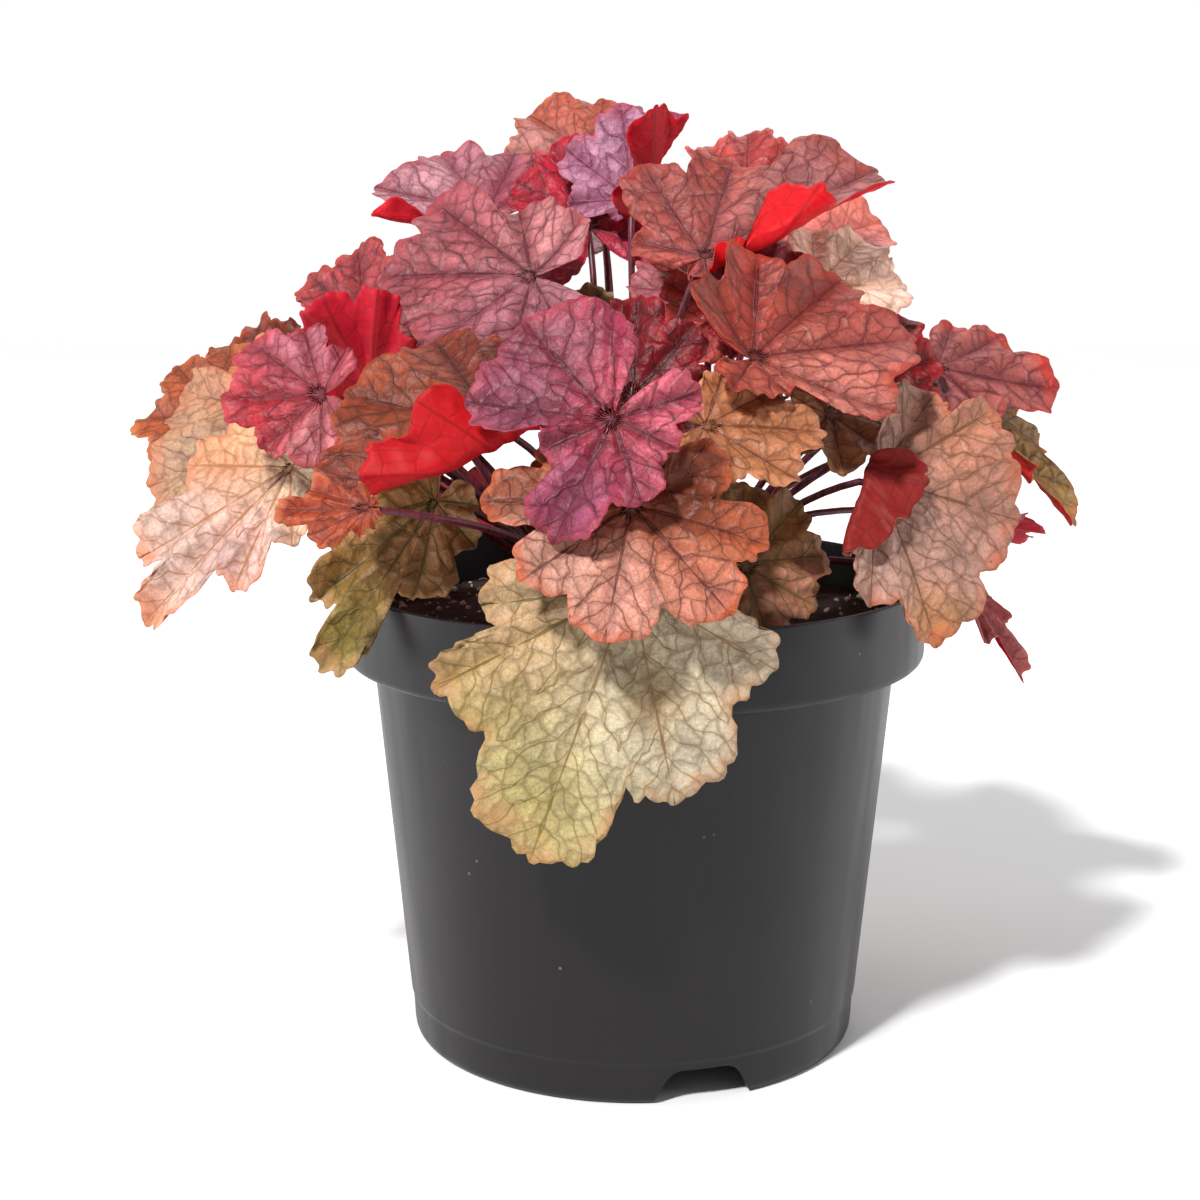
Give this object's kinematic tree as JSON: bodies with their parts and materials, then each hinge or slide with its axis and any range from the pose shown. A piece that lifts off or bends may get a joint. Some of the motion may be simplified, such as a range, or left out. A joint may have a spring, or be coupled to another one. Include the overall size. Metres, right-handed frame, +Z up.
{
  "type": "potted heuchera plant",
  "caption": "Heuchera with lobed, waved leaves in mauve, crimson, peach and olive, in a round black nursery pot filled with potting soil.",
  "frame": {"origin": "on the ground, under the middle of the box around the whole plant and pot", "axes": "+Z up; -Y towards the front of the plant as pictured; +X to the viewer's right. The pot's axis is upright at x = 0.0106 m, y = -0.0144 m"},
  "size_m": [0.3266, 0.2687, 0.3104],
  "materials": {
    "pot": "satin",
    "soil": "matte",
    "mauve": "satin",
    "crimson": "satin",
    "rose": "satin",
    "orange": "satin",
    "brown": "satin",
    "tan": "satin",
    "peach": "satin",
    "cream": "satin",
    "olive": "satin"
  },
  "bodies": {
    "root": {"pot": "pot", "soil": "soil", "leaf_01": "orange", "leaf_02": "mauve", "leaf_03": "mauve", "leaf_04": "mauve", "leaf_05": "crimson", "leaf_06": "rose", "leaf_07": "rose", "leaf_08": "peach", "leaf_09": "cream", "leaf_10": "rose", "leaf_11": "crimson", "leaf_12": "rose", "leaf_13": "mauve", "leaf_14": "crimson", "leaf_15": "mauve", "leaf_16": "brown", "leaf_17": "olive", "leaf_18": "peach", "leaf_19": "crimson", "leaf_20": "mauve", "leaf_21": "crimson", "leaf_22": "tan", "leaf_23": "peach", "leaf_24": "cream", "leaf_25": "olive", "leaf_26": "brown", "leaf_27": "rose", "leaf_28": "olive", "leaf_29": "cream", "leaf_30": "peach", "leaf_31": "orange", "leaf_32": "mauve", "leaf_33": "crimson", "leaf_34": "rose", "leaf_35": "orange", "leaf_36": "tan", "leaf_37": "olive", "leaf_38": "olive", "leaf_39": "peach", "leaf_40": "tan", "leaf_41": "peach", "leaf_42": "cream", "leaf_43": "rose", "leaf_44": "mauve", "leaf_45": "rose", "leaf_46": "orange", "leaf_47": "rose", "leaf_48": "tan", "leaf_49": "mauve"}
  },
  "joints": []
}
